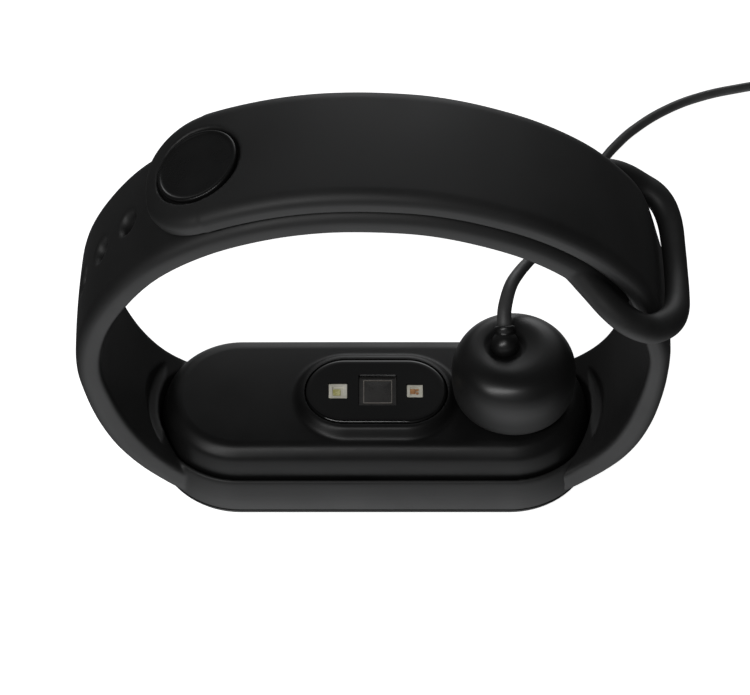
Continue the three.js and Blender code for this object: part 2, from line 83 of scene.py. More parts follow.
# Inner face of the hole arm in the XZ plane, from the tracker's left end over the top to the right.
HOLE_ARM = [
    (-18.0, 5.6), (-21.6, 8.9), (-23.45, 11.5), (-25.1, 14.95), (-26.4, 19.2), (-27.15, 23.8), (-26.3, 28.9),
    (-24.1, 33.5), (-20.65, 37.95), (-15.7, 41.45), (-10.1, 43.65), (-4.9, 44.65), (0.0, 44.75), (4.9, 44.25),
    (9.7, 42.85), (14.55, 40.6), (18.95, 37.25), (21.75, 33.55), (23.05, 31.1),
]
# Inner face of the stud arm, up to where it reaches the hole arm.
STUD_RISE = [
    (18.0, 5.6), (21.9, 8.8), (23.95, 11.4), (25.35, 14.65), (26.25, 18.2), (26.85, 22.0), (27.0, 25.4),
    (26.2, 28.85),
]
# Middle of the lead, from the ball's collar to the coil, and of its tail, from the coil to the plug.
LEAD = [
    (13.25, 2.1, 19.5), (13.2, 3.3, 20.3), (13.5, 4.9, 20.75), (14.0, 6.7, 20.7), (14.9, 8.9, 20.0),
    (16.0, 11.4, 18.7), (17.4, 14.9, 16.3), (19.2, 20.4, 11.9), (21.2, 26.0, 7.2), (22.9, 31.6, 3.2),
    (24.5, 37.0, 1.1), (26.4, 41.8, 0.6), (28.2, 44.4, 0.56), (30.2, 46.6, 0.56), (34.3, 49.8, 0.56),
    (38.4, 51.8, 0.56), (42.5, 53.0, 0.56), (47.0, 53.9, 0.56), (52.0, 54.35, 0.56), (57.2, 54.4, 0.56),
]
TAIL = [
    (48.6, 62.5, 3.2), (48.7, 60.0, 2.85), (49.2, 57.2, 2.45), (50.1, 54.6, 2.3), (51.4, 52.2, 2.6),
    (52.7, 50.2, 3.2), (53.4, 48.4, 3.65), (53.5, 46.7, 3.7),
]
# Radius and height of each turn of the coil, from the first to the last.
TURNS = [
    (7.45, 0.56), (6.3, 0.56), (5.15, 0.56), (5.73, 1.56), (6.87, 1.56),
    (7.45, 2.56), (6.3, 2.56), (5.15, 2.56), (5.73, 3.56), (6.87, 3.56),
]


# ---- small maths ----
def smooth(low, high, value):
    t = min(1.0, max(0.0, (value - low) / (high - low)))
    return t * t * (3 - 2 * t)


def mix(a, b, t):
    return a + (b - a) * t


class Path:
    """Centripetal Catmull-Rom curve through points, walked by its length."""

    def __init__(self, points, fine=24):
        p = [Vector(q) for q in points]
        p = [2 * p[0] - p[1], *p, 2 * p[-1] - p[-2]]
        self.line = []
        for a, b, c, d in zip(p, p[1:], p[2:], p[3:]):
            ta, tb, tc = (math.sqrt((v - w).length) for v, w in ((b, a), (c, b), (d, c)))
            m = ((b - a) / ta - (c - a) / (ta + tb) + (c - b) / tb) * tb
            n = ((c - b) / tb - (d - b) / (tb + tc) + (d - c) / tc) * tb
            for k in range(fine):
                t = k / fine
                self.line.append(
                    b * (2 * t**3 - 3 * t**2 + 1) + m * (t**3 - 2 * t**2 + t)
                    + c * (3 * t**2 - 2 * t**3) + n * (t**3 - t**2)
                )
        self.line.append(p[-2])
        self.far = [0.0]
        for a, b in zip(self.line, self.line[1:]):
            self.far.append(self.far[-1] + (b - a).length)
        self.length = self.far[-1]

    def point(self, u):
        goal = min(max(u, 0.0), 1.0) * self.length
        low, high = 0, len(self.far) - 1
        while high - low > 1:
            middle = (low + high) // 2
            if self.far[middle] <= goal:
                low = middle
            else:
                high = middle
        share = (goal - self.far[low]) / max(self.far[high] - self.far[low], 1e-9)
        return self.line[low].lerp(self.line[high], share)

    def tangent(self, u):
        step = 0.002
        return (self.point(min(1, u + step)) - self.point(max(0, u - step))).normalized()


def in_plane(points):
    return Path([(x, 0.0, z) for x, z in points])


# ---- meshes ----
def solid(name, points, faces, sharp=None):
    """A closed mesh with its faces turned outward; an edge sharper than that many degrees stays crisp."""
    mesh = bpy.data.meshes.new(name)
    mesh.from_pydata([[c * MM for c in p] for p in points], [], faces)
    work = bmesh.new()
    work.from_mesh(mesh)
    bmesh.ops.remove_doubles(work, verts=work.verts, dist=2e-7)
    bmesh.ops.recalc_face_normals(work, faces=work.faces)
    for face in work.faces:
        face.smooth = True
    work.to_mesh(mesh)
    work.free()
    if sharp:
        mesh.set_sharp_from_angle(angle=math.radians(sharp))
    obj = bpy.data.objects.new(name, mesh)
    SCENE.collection.objects.link(obj)
    return obj


def loft(name, rings, sharp=None, zipped_at=None):
    """Skin over equal closed rings, closed at both ends by a fan.

    zipped_at is the point of a narrow last ring from which its two sides are joined across instead.
    """
    count = len(rings[0])
    points = [tuple(p) for ring in rings for p in ring]
    faces = []
    for i in range(len(rings) - 1):
        for j in range(count):
            a, b = i * count + j, i * count + (j + 1) % count
            faces.append((a, b, b + count, a + count))
    last = (len(rings) - 1) * count
    ends = [(0, rings[0])]
    if zipped_at is None:
        ends.append((last, rings[-1]))
    else:
        near = [last + (zipped_at + k) % count for k in range(count // 2 + 1)]
        far = [last + (zipped_at - k) % count for k in range(count // 2 + 1)]
        faces.append((near[0], near[1], far[1]))
        faces.append((near[-2], near[-1], far[-2]))
        for k in range(1, count // 2 - 1):
            faces.append((near[k], near[k + 1], far[k + 1], far[k]))
    for start, ring in ends:
        middle = len(points)
        points.append(tuple(sum(p[k] for p in ring) / count for k in range(3)))
        faces.extend((start + j, start + (j + 1) % count, middle) for j in range(count))
    return solid(name, points, faces, sharp)


def lathe(name, profile, x=0.0, y=0.0, sides=96, sharp=None):
    """Solid of revolution about an upright line; the profile is (radius, height)."""
    rings = []
    for r, z in profile:
        r = max(r, 1e-5)
        turn = [2 * math.pi * k / sides for k in range(sides)]
        rings.append([(x + r * math.cos(a), y + r * math.sin(a), z) for a in turn])
    return loft(name, rings, sharp)


def rounded(profile, radius, steps=5):
    """The profile with each inner corner replaced by a small arc."""
    out = [profile[0]]
    for a, b, c in zip(profile, profile[1:], profile[2:]):
        a, b, c = Vector(a), Vector(b), Vector(c)
        r = min(radius, (b - a).length * 0.45, (c - b).length * 0.45)
        start, end = b + (a - b).normalized() * r, b + (c - b).normalized() * r
        for k in range(steps + 1):
            t = k / steps
            out.append(tuple(start * (1 - t) ** 2 + b * 2 * t * (1 - t) + end * t**2))
    out.append(profile[-1])
    return out


def stadium(length, width, z, steps=40, straight=24, x=0.0, y=0.0):
    r = max(width / 2, 1e-4)
    half = length / 2 - r
    ring = []
    for side in (1, -1):
        for k in range(steps + 1):
            a = math.pi * (k / steps - 0.5 * side)
            ring.append((x + side * half + r * math.cos(a), y + r * math.sin(a), z))
        for k in range(1, straight):
            ring.append((x + side * half * (1 - 2 * k / straight), y + side * r, z))
    return ring


def inside_stadium(x, y, length, width):
    """Distance in from the edge of a stadium, below zero outside it."""
    r = width / 2
    return r - math.hypot(max(0.0, abs(x) - (length / 2 - r)), y)


def rounded_box(name, low, high, radius, z_radius=None, steps=6):
    """Block whose upright corners have one radius and whose top and bottom edges have another."""
    z_radius = radius if z_radius is None else z_radius
    insets = [(z_radius * (1 - math.sin(a)), z_radius * (1 - math.cos(a)))
              for a in (math.pi / 2 * k / steps for k in range(steps + 1))]
    levels = [(i, low[2] + h) for i, h in insets] + [(i, high[2] - h) for i, h in reversed(insets)]
    rings = []
    for inset, z in levels:
        r = max(radius - inset, radius * 0.2)
        x0, x1, y0, y1 = low[0] + inset, high[0] - inset, low[1] + inset, high[1] - inset
        ring = []
        corners = ((x1 - r, y0 + r, -90), (x1 - r, y1 - r, 0), (x0 + r, y1 - r, 90), (x0 + r, y0 + r, 180))
        for cx, cy, first in corners:
            for k in range(steps + 1):
                a = math.radians(first + 90 * k / steps)
                ring.append((cx + r * math.cos(a), cy + r * math.sin(a), z))
        rings.append(ring)
    return loft(name, rings, 35)


def settled(obj):
    """The object with its modifiers turned into mesh."""
    made = bpy.data.meshes.new_from_object(obj.evaluated_get(bpy.context.evaluated_depsgraph_get()))
    obj.modifiers.clear()
    obj.data = made
    return obj


def carve(obj, *tools):
    for tool in tools:
        step = obj.modifiers.new("cut", "BOOLEAN")
        step.operation, step.solver, step.object = "DIFFERENCE", "EXACT", tool
        settled(obj)
        bpy.data.objects.remove(tool)
    return obj


def moulded(obj, others, voxel, passes):
    """One moulding out of overlapping closed meshes, its edges softened."""
    work = bmesh.new()
    for part in (obj, *others):
        work.from_mesh(part.data)
    work.to_mesh(obj.data)
    work.free()
    for part in others:
        bpy.data.objects.remove(part)
    step = obj.modifiers.new("skin", "REMESH")
    step.mode, step.voxel_size, step.use_smooth_shade = "VOXEL", voxel * MM, True
    settled(obj)
    step = obj.modifiers.new("soften", "SMOOTH")
    step.factor, step.iterations = 0.5, passes
    return settled(obj)


def crisp(obj, degrees):
    for face in obj.data.polygons:
        face.use_smooth = True
    obj.data.set_sharp_from_angle(angle=math.radians(degrees))
    return obj


def sweep(name, path, profile, sides=28):
    """Round tube along a path; the profile is (length along it, radius)."""
    rings = []
    side = Vector((1, 0, 0))
    for far, r in profile:
        u = far / path.length
        p, t = path.point(u), path.tangent(u)
        side = (side - t * side.dot(t)).normalized()
        other = t.cross(side)
        turn = [2 * math.pi * k / sides for k in range(sides)]
        rings.append([p + (side * math.cos(a) + other * math.sin(a)) * max(r, 1e-4) for a in turn])
    return loft(name, rings, 40)


def curve_piece(name, points, diameter):
    data = bpy.data.curves.new(name, "CURVE")
    data.dimensions = "3D"
    data.bevel_depth = diameter / 2 * MM
    data.bevel_resolution = 6
    data.resolution_u = 10
    data.use_fill_caps = True
    spline = data.splines.new("BEZIER")
    spline.bezier_points.add(len(points) - 1)
    for knot, p in zip(spline.bezier_points, points):
        knot.co = Vector(p) * MM
        knot.handle_left_type = knot.handle_right_type = "AUTO"
    obj = bpy.data.objects.new(name, data)
    SCENE.collection.objects.link(obj)
    return obj


# ---- materials ----
class Nodes:
    """A material's node tree with the few nodes that every finish here needs."""

    def __init__(self, name):
        self.material = bpy.data.materials.new(name)
        self.material.use_nodes = True
        self.tree = self.material.node_tree
        self.shader = self.tree.nodes["Principled BSDF"]
        self.place = self.add("ShaderNodeTexCoord").outputs["Object"]

    def add(self, kind, **values):
        node = self.tree.nodes.new(kind)
        for key, value in values.items():
            setattr(node, key, value)
        return node

    def link(self, a, b):
        self.tree.links.new(a, b)

    def stretched(self, scale):
        node = self.add("ShaderNodeMapping")
        node.inputs["Scale"].default_value = scale
        self.link(self.place, node.inputs["Vector"])
        return node.outputs["Vector"]

    def noise(self, per_mm, detail=3.0, place=None, rough=0.5):
        node = self.add("ShaderNodeTexNoise")
        node.inputs["Scale"].default_value = per_mm / MM
        node.inputs["Detail"].default_value = detail
        node.inputs["Roughness"].default_value = rough
        self.link(place or self.place, node.inputs["Vector"])
        return node.outputs["Fac"]

    def ramp(self, value, low, high, start=0.3, end=0.7):
        node = self.add("ShaderNodeMapRange")
        node.inputs["From Min"].default_value = start
        node.inputs["From Max"].default_value = end
        node.inputs["To Min"].default_value = low
        node.inputs["To Max"].default_value = high
        self.link(value, node.inputs["Value"])
        return node.outputs["Result"]

    def colours(self, value, first, second, start=0.3, end=0.7):
        node = self.add("ShaderNodeValToRGB")
        node.color_ramp.elements[0].position = start
        node.color_ramp.elements[1].position = end
        node.color_ramp.elements[0].color = (*first, 1)
        node.color_ramp.elements[1].color = (*second, 1)
        self.link(value, node.inputs["Fac"])
        return node.outputs["Color"]

    def bump(self, heights, distance_mm):
        node = self.add("ShaderNodeBump")
        node.inputs["Strength"].default_value = 1.0
        node.inputs["Distance"].default_value = distance_mm * MM
        self.link(heights, node.inputs["Height"])
        return node.outputs["Normal"]


GRAIN_SHARE = 0.35
SHADE_FROM, SHADE_TO = 0.5, 0.85
COAT_ROUGHNESS = 0.1


def finish_of(name, first, second, rough, grain, depth, wave=0.25, metal=0.0, stretch=None, specular=0.5,
              coat=0.0, matte_below=None):
    """One finish: two close colours, a fine grain, a slow unevenness and roughness between two values.

    grain and wave are noise scales per mm, and depth is the height of the grain in mm. matte_below is a lower
    height, an upper height and the roughness below the lower one.
    """
    n = Nodes(name)
    place = n.stretched(stretch) if stretch else n.place
    slow = n.noise(wave, 4.0, place)
    fine = n.noise(grain, 4.0, place, 0.6)
    shade = n.add("ShaderNodeMath", operation="ADD")
    weaker = n.add("ShaderNodeMath", operation="MULTIPLY")
    weaker.inputs[1].default_value = GRAIN_SHARE
    n.link(fine, weaker.inputs[0])
    n.link(slow, shade.inputs[0])
    n.link(weaker.outputs[0], shade.inputs[1])
    n.link(n.colours(shade.outputs[0], first, second, SHADE_FROM, SHADE_TO), n.shader.inputs["Base Color"])
    roughness = n.ramp(shade.outputs[0], *rough, SHADE_FROM, SHADE_TO)
    if matte_below:
        low, high, matte = matte_below
        apart = n.add("ShaderNodeSeparateXYZ")
        n.link(n.place, apart.inputs["Vector"])
        blend = n.add("ShaderNodeMix")
        blend.inputs["A"].default_value = matte
        n.link(n.ramp(apart.outputs["Z"], 0.0, 1.0, low * MM, high * MM), blend.inputs["Factor"])
        n.link(roughness, blend.inputs["B"])
        roughness = blend.outputs["Result"]
    n.link(roughness, n.shader.inputs["Roughness"])
    n.link(n.bump(fine, depth), n.shader.inputs["Normal"])
    n.shader.inputs["Metallic"].default_value = metal
    n.shader.inputs["Specular IOR Level"].default_value = specular
    if coat:
        n.shader.inputs["Coat Weight"].default_value = coat
        n.shader.inputs["Coat Roughness"].default_value = COAT_ROUGHNESS
    return n.material


def grey(v, warm=0.0):
    return (v * (1 + warm), v, v * (1 - warm))


# Two colours, the lowest and highest roughness, grain and depth, and then what differs from the defaults.
RECIPES = {
    "strap_rubber": (grey(0.012), grey(0.017), (0.46, 0.56), 5.0, 0.006, {"wave": 0.12, "specular": 0.4}),
    "stud_plastic": (grey(0.006), grey(0.009), (0.26, 0.34), 6.0, 0.003, {"wave": 0.3, "specular": 0.4}),
    "front_glass": (grey(0.004), grey(0.006), (0.05, 0.09), 2.0, 0.0006, {"wave": 0.05, "coat": 1.0}),
    "case_plastic": (grey(0.005), grey(0.0075), (0.36, 0.44), 7.0, 0.004, {"wave": 0.15, "specular": 0.3}),
    "display": (grey(0.006), grey(0.009), (0.1, 0.16), 2.0, 0.001, {}),
    "seal_foam": (grey(0.02), grey(0.05), (0.8, 0.95), 5.0, 0.05, {}),
    "circuit_board": ((0.01, 0.06, 0.03), (0.02, 0.1, 0.05), (0.3, 0.5), 1.5, 0.02, {}),
    "cell_foil": (grey(0.4), grey(0.55), (0.3, 0.5), 0.8, 0.05, {"metal": 0.9}),
    "chip_plastic": (grey(0.015), grey(0.025), (0.5, 0.65), 8.0, 0.01, {}),
    "steel": (grey(0.45), grey(0.6), (0.22, 0.38), 3.0, 0.006, {"metal": 1.0, "stretch": (0.06, 1, 1)}),
    "sensor_lens": (grey(0.005), grey(0.007), (0.07, 0.12), 3.0, 0.0005, {"wave": 0.1}),
    "led_resin": ((0.62, 0.6, 0.5), (0.85, 0.82, 0.72), (0.3, 0.45), 4.0, 0.01, {"wave": 0.8}),
    "led_green": ((0.45, 0.42, 0.12), (0.75, 0.72, 0.4), (0.2, 0.35), 6.0, 0.01, {"wave": 1.5}),
    "led_amber": ((0.3, 0.11, 0.03), (0.6, 0.3, 0.12), (0.25, 0.4), 6.0, 0.01, {"wave": 1.5}),
    "detector": (grey(0.02, 0.05), grey(0.04, 0.05), (0.12, 0.2), 4.0, 0.002, {"wave": 0.4, "coat": 0.8}),
    "detector_edge": (grey(0.13, 0.1), grey(0.2, 0.1), (0.3, 0.45), 5.0, 0.004, {"wave": 0.6}),
    "gold_contact": ((0.62, 0.42, 0.13), (0.8, 0.58, 0.22), (0.16, 0.32), 4.0, 0.004, {"metal": 1.0}),
    "puck_plastic": (
        grey(0.008), grey(0.011), (0.3, 0.36), 7.0, 0.002, {"wave": 0.12, "matte_below": (13.6, 17.2, 0.68)},
    ),
    "magnet_nickel": (grey(0.5), grey(0.65), (0.12, 0.25), 3.0, 0.004, {"metal": 1.0}),
    "cord_jacket": (grey(0.048), grey(0.062), (0.42, 0.55), 4.0, 0.012, {"wave": 0.5}),
    "tie_rubber": (grey(0.012), grey(0.018), (0.5, 0.62), 5.0, 0.01, {}),
    "plug_overmould": (grey(0.012), grey(0.017), (0.4, 0.5), 5.0, 0.008, {}),
    "plug_steel": (grey(0.5), grey(0.65), (0.2, 0.34), 4.0, 0.005, {"metal": 1.0, "stretch": (0.05, 1, 1)}),
    "plug_insulator": (grey(0.6, 0.02), grey(0.75, 0.02), (0.4, 0.55), 4.0, 0.006, {}),
}
FINISH = {name: finish_of(name, *row, **special) for name, (*row, special) in RECIPES.items()}


def dress(obj, material, body, stands_for=()):
    """Gives a piece its finish and its body, and hides the CAD parts that it stands for."""
    obj.data.materials.clear()
    obj.data.materials.append(FINISH[material])
    if body:
        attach(obj, body)
    if stands_for:
        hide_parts(*stands_for)
    return obj


# ---- camera, floor and light ----
# Metres, degrees from straight down, and millimetres of lens and sensor.
CAMERA = {"place": (0.0, -0.1859, 0.2555), "tilt": 38.14, "lens": 141.84, "sensor": 36.0, "nearest": 0.01}
FLOOR_HALF = 3.0

camera = bpy.data.objects.new("camera", bpy.data.cameras.new("camera"))
SCENE.collection.objects.link(camera)
camera.location = CAMERA["place"]
camera.rotation_euler = (math.radians(CAMERA["tilt"]), 0.0, 0.0)
camera.data.lens = CAMERA["lens"]
camera.data.sensor_width = CAMERA["sensor"]
camera.data.clip_start = CAMERA["nearest"]
SCENE.camera = camera
SCENE.view_settings.view_transform = "Standard"

floor_mesh = bpy.data.meshes.new("floor")
floor_corners = [(x * FLOOR_HALF, y * FLOOR_HALF, 0) for x, y in ((-1, -1), (1, -1), (1, 1), (-1, 1))]
floor_mesh.from_pydata(floor_corners, [], [(0, 1, 2, 3)])
floor = bpy.data.objects.new("floor", floor_mesh)
SCENE.collection.objects.link(floor)
paper = Nodes("paper")
paper.link(paper.colours(paper.noise(0.01), grey(0.86), grey(0.9)), paper.shader.inputs["Base Color"])
paper.shader.inputs["Roughness"].default_value = 0.9
paper.shader.inputs["Specular IOR Level"].default_value = 0.1
paper.shader.inputs["Emission Color"].default_value = (1, 1, 1, 1)
paper.shader.inputs["Emission Strength"].default_value = 0.95
floor_mesh.materials.append(paper.material)
# The floor shows behind the object but neither lights nor shades it.
floor.visible_diffuse = floor.visible_glossy = floor.visible_shadow = False


def studio(name, ambient, lobes):
    """Soft light from all round; each lobe is (direction, strength, how narrow)."""
    world = bpy.data.worlds.new(name)
    world.use_nodes = True
    nodes, links = world.node_tree.nodes, world.node_tree.links
    sight = nodes.new("ShaderNodeTexCoord").outputs["Generated"]
    total = None
    for toward_light, strength, narrow in lobes:
        facing = nodes.new("ShaderNodeVectorMath")
        facing.operation = "DOT_PRODUCT"
        links.new(sight, facing.inputs[0])
        facing.inputs[1].default_value = Vector(toward_light).normalized()
        value = facing.outputs["Value"]
        for operation, number in (("MAXIMUM", 0.0), ("POWER", narrow), ("MULTIPLY", strength)):
            step = nodes.new("ShaderNodeMath")
            step.operation = operation
            links.new(value, step.inputs[0])
            step.inputs[1].default_value = number
            value = step.outputs[0]
        step = nodes.new("ShaderNodeMath")
        step.operation = "ADD"
        links.new(value, step.inputs[0])
        if total is None:
            step.inputs[1].default_value = ambient
        else:
            links.new(total, step.inputs[1])
        total = step.outputs[0]
    back = nodes["Background"]
    back.inputs["Color"].default_value = (0.98, 0.99, 1.0, 1)
    links.new(total, back.inputs["Strength"])
    return world


AMBIENT = 0.035
LOBES = [
    ((-0.08, -0.66, -0.72), 1.5, 4.0),
    ((0.0, -0.8, 0.6), 0.2, 10.0),
    ((-0.3, 0.6, 0.75), 0.07, 3.0),
    ((0.1, 0.95, 0.34), 2.8, 26.0),
    ((0.0, 0.9, -0.3), 0.5, 12.0),
]
SCENE.world = studio("studio", AMBIENT, LOBES)


def softbox(name, at, aim, size, power, along):
    """Rectangular area light at one place, turned to another, with its long side along a direction."""
    light = bpy.data.lights.new(name, "AREA")
    light.shape = "RECTANGLE"
    light.size, light.size_y = size
    light.energy = power
    obj = bpy.data.objects.new(name, light)
    SCENE.collection.objects.link(obj)
    back = (Vector(at) - Vector(aim)).normalized()
    up = back.cross(Vector(along)).normalized()
    turn = Matrix((up.cross(back), up, back)).transposed()
    obj.matrix_world = Matrix.Translation(at) @ turn.to_4x4()
    return obj


softbox("key", at=(-0.2, -0.33, 0.45), aim=(0, 0, 0.02), size=(0.5, 0.08), power=1.4, along=(1, 0.1, 0.55))


# ---- cord ----
def coil_points(each_turn=16, start=-92.0, leave=180.0, joining_radius=8.9, leaving_height=3.25):
    """Turns of the coil one after another, then the way out over the top towards the plug."""
    whole = 360 * (len(TURNS) - 1) + leave - start
    out = []
    for k in range(1, int(whole / 360 * each_turn) + 1):
        turn, part = divmod(k, each_turn)
        part /= each_turn
        r, z = TURNS[turn]
        if turn + 1 < len(TURNS):
            ease = smooth(0.82, 1.0, part)
            r, z = mix(r, TURNS[turn + 1][0], ease), mix(z, TURNS[turn + 1][1], ease)
        if turn == 0:
            r = mix(joining_radius, r, smooth(0, 0.2, part))
        left = whole - k * 360 / each_turn
        r = mix(r, joining_radius, smooth(-62, 0, -left))
        z = mix(z, leaving_height, smooth(-30, 0, -left))
        a = math.radians(start + 360 * k / each_turn)
        out.append((COIL["x"] + r * math.cos(a), COIL["y"] + r * math.sin(a), z))
    return out


cord = curve_piece("cord", LEAD + coil_points() + TAIL, CORD["d"])
dress(cord, "cord_jacket", "charger", stands_for=("cord_lead", "cord_coil", "cord_tail"))

# One line runs through the ball, its collar and the first of the lead.
ball_foot = Vector((13.27, -0.22, 17.06))
ball_centre = Vector((BALL["x"], BALL["y"], BALL["z"]))
start_path = Path([ball_foot, ball_centre, (13.27, 1.35, 18.75), (13.25, 1.9, 19.3), *LEAD[1:9]])
ball_far = (ball_centre - ball_foot).length
boss_profile = [(BALL["radius"] * math.sin(a), BALL["radius"] * math.cos(a))
                for a in (math.radians(d) for d in range(-90, 48, 6))]
boss_profile += [
    (1.04, 1.0), (1.12, 0.96), (1.2, 0.95), (1.28, 0.96), (1.36, 1.02), (1.43, 1.06), (1.72, 1.06),
    (1.82, 1.02), (1.89, 0.93), (1.92, 0.8), (1.92, 0.05),
]
boss = sweep("cord_swivel", start_path, [(ball_far + s, r) for s, r in boss_profile])
dress(boss, "puck_plastic", "charger", stands_for=("cord_boss",))
SLEEVE_FROM, SLEEVE_LONG = ball_far + 1.93, 12
sleeve_profile = [(ball_far + 1.5, 0.5), (SLEEVE_FROM, 0.74)]
sleeve_profile += [(SLEEVE_FROM + SLEEVE_LONG * k / 24, mix(0.75, 0.57, k / 24)) for k in range(1, 25)]
sleeve_profile.append((ball_far + 14.0, 0.5))
sleeve = sweep("cord_sleeve", start_path, sleeve_profile)
dress(sleeve, "cord_jacket", "charger")


def arch_tie():
    """Rubber clip over the coil, in the plane across its turns."""
    mid = COIL["y"] + 6.3
    half, high = 2.25, COIL["high"] + 0.45
    half_width, half_thick = 1.35, 0.3
    rise = [(half, 0.05), (half, 1.0), (half, high - 1.1), (half - 0.35, high - 0.3), (half - 1.2, high)]
    path = Path([(0, mid - y, z) for y, z in rise] + [(0, mid + y, z) for y, z in reversed(rise)])
    rings = []
    for i in range(61):
        u = i / 60
        p, t = path.point(u), path.tangent(u)
        n = Vector((0, -t.z, t.y))
        ring = []
        for k in range(24):
            a = 2 * math.pi * k / 24
            across = half_width * math.copysign(abs(math.cos(a)) ** 0.35, math.cos(a))
            out = half_thick * math.copysign(abs(math.sin(a)) ** 0.6, math.sin(a))
            ring.append(p + n * out + Vector((COIL["x"] + across, 0, 0)))
        rings.append(ring)
    return loft("coil_clip", rings)


tie = dress(arch_tie(), "tie_rubber", "charger", stands_for=("coil_tie",))


# ---- plug ----
def plug_body():
    """Overmoulded grip: a rounded slab with a waist, and ribs on its two wide faces."""
    rings = []
    length = PLUG["long"]
    corner, rib_depth, rib_pitch, waist_depth = 0.8, 0.22, 1.5, 0.55
    stations = [0, 0.08, 0.2, 0.45, 0.9, 1.6] + [2.4 + 0.2 * k for k in range(76)]
    stations += [18.2, 19.0, 19.5, 19.8, 19.95, 20]
    for s in stations:
        end = min(s, length - s)
        inset = corner * (1 - math.sqrt(max(0, 1 - (1 - min(1, end / corner)) ** 2)))
        grip = smooth(3.5, 5.0, s) * (1 - smooth(13.0, 14.5, s))
        rib = grip * rib_depth * (0.5 - 0.5 * math.cos(2 * math.pi * s / rib_pitch))
        waist = waist_depth * math.sin(math.pi * min(1, s / length)) ** 2
        ring = []
        w = PLUG["wide"] / 2 - inset - waist
        h = PLUG["high"] / 2 - inset - rib
        for k in range(64):
            a = 2 * math.pi * k / 64
            x = w * math.copysign(abs(math.cos(a)) ** 0.42, math.cos(a))
            z = h * math.copysign(abs(math.sin(a)) ** 0.55, math.sin(a))
            ring.append((PLUG["x"] + x, PLUG["rear"] - s, PLUG["z"] + z))
        rings.append(ring)
    return loft("plug_grip", rings, 40)


def plug_boot():
    """Grooved strain relief that widens towards the plug."""
    path = Path([
        (52.75, 50.1, 3.23), (53.1, 49.3, 3.48), (53.4, 48.4, 3.65), (53.5, 46.7, 3.7), (53.5, 44.1, 3.7),
    ])
    thin, thick, groove_depth, groove_pitch = 0.72, 1.75, 0.16, 1.1
    profile = []
    for k in range(81):
        s = path.length * k / 80
        groove = groove_depth * (0.5 - 0.5 * math.cos(2 * math.pi * s / groove_pitch)) * smooth(0.6, 1.2, s)
        profile.append((s, mix(thin, thick, (k / 80) ** 1.2) - groove))
    return sweep("plug_boot", path, profile)


grip = dress(plug_body(), "plug_overmould", "charger", stands_for=("plug_body",))
boot = dress(plug_boot(), "plug_overmould", "charger")

# ---- strap ----
hole_arm = in_plane(HOLE_ARM)


def off(path, u, outward):
    """A place on the path and the direction out of the wrist loop there."""
    t = path.tangent(u)
    return path.point(u), Vector((t.z, 0, -t.x)) * outward


def stud_arm_path():
    """The rise on the right, then a line outside the hole arm to just past the tip."""
    points = list(STUD_RISE)
    u = OVER_FROM
    while u > TIP_AT - 0.02:
        p, n = off(hole_arm, u, -1)
        q = p + n * OVER
        points.append((q.x, q.z))
        u -= 0.035
    return in_plane(points)


stud_path = stud_arm_path()


def over_place(u):
    """The fraction of the stud arm's path that lies over a place on the hole arm."""
    p, n = off(hole_arm, u, -1)
    goal = p + n * OVER
    return min((k / 800 for k in range(801)), key=lambda v: (stud_path.point(v) - goal).length)


def band_outline(half, thick, inner=0.5, across=1.6, crown=0.14):
    """Band section as (across, out): flat inside with small edges, a wide soft shoulder outside."""
    inner = min(inner, half * 0.6, thick * 0.3)
    across, drop = min(across, half * 0.7), (thick - crown) * 0.52
    right = [((half - inner) * k / 8, 0.0) for k in range(8)]
    for k in range(7):
        a = math.pi / 2 * k / 6
        right.append((half - inner + inner * math.sin(a), inner * (1 - math.cos(a))))
    top = thick - crown
    for k in range(13):
        a = math.pi / 2 * k / 12
        right.append((half - across + across * math.cos(a), top - drop + drop * math.sin(a)))
    reach = half - across
    right += [(reach * (1 - k / 9), thick - crown * (1 - k / 9) ** 2) for k in range(1, 9)]
    return right + [(0.0, thick)] + [(-y, h) for y, h in reversed(right[1:])]


def band_rings(path, outward, places, width_at, thick_at, sink_at=None):
    rings = []
    for u in places:
        p, n = off(path, u, outward)
        sink = sink_at(u) if sink_at else 1.0
        half_thick = thick_at(u) / 2
        outline = band_outline(width_at(u) / 2, thick_at(u))
        rings.append([(p.x + n.x * (half_thick + (h - half_thick) * sink), y,
                       p.z + n.z * (half_thick + (h - half_thick) * sink)) for y, h in outline])
    return rings


def toward(u, start, end):
    """1 up to start, falling evenly to 0 at end."""
    return min(1, max(0, (end - u) / (end - start)))


def wide_at(u):
    return ARM["width"] + ARM["flare"] * toward(u, 0.02, 0.12) ** 2


def thick_inner(u):
    return mix(ARM["inner"], ARM["root"], toward(u, 0.1, 0.24))


def thick_outer(u):
    return mix(ARM["outer"], ARM["root"], toward(u, 0.08, 0.26))


